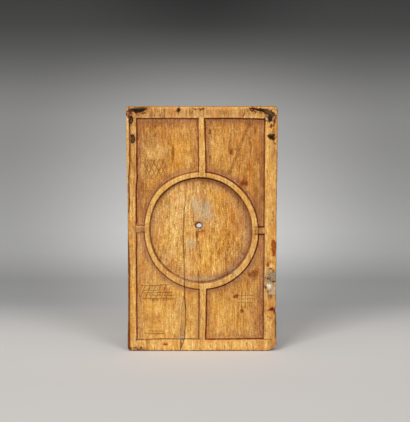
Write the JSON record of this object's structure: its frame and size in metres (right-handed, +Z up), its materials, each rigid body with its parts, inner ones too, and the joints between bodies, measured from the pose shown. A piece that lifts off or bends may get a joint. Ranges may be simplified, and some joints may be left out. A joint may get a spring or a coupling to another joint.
{
  "type": "writing tablet leaf",
  "caption": "Upright wooden writing-tablet leaf: a flush frame, spine and ring stand round sunk panels and a round dish for wax, with a small bore through the dish.",
  "frame": {"origin": "middle of the lower edge, at the centre of the leaf's thickness", "axes": "+Z up the grain, +X to the right as the carved face is looked at, -Y out of the carved face"},
  "size_m": [0.1536, 0.015, 0.25],
  "materials": {
    "wood": "aged, hand-carved, rubbed smooth",
    "wood_dark": "broken, dirty",
    "wax": "thin old wax, dirty",
    "pitch": "hard and crumbly",
    "filler": "chalky",
    "filler_grey": "chalky, dark",
    "plaster": "chalky, pale"
  },
  "bodies": {
    "root": {"carved_leaf": "wood", "split_sliver": "wood_dark", "rail_wedge": "wood_dark", "rail_fill_dab": "filler", "edge_fill_upper": "filler_grey", "edge_fill_lower": "filler", "edge_fill_lump": "plaster", "fixing_plug_left_upper": "pitch", "fixing_plug_left_lower": "pitch", "fixing_plug_right_upper": "pitch", "fixing_plug_right_lower": "pitch", "fixing_plug_top": "pitch", "pitch_crust_top_left": "pitch", "pitch_crust_top_right": "pitch", "wax_trace_upper_left": "wax", "wax_trace_upper_right": "wax", "wax_trace_lower_left": "wax", "wax_trace_lower_right": "wax", "wax_trace_dish": "wax"}
  },
  "joints": []
}
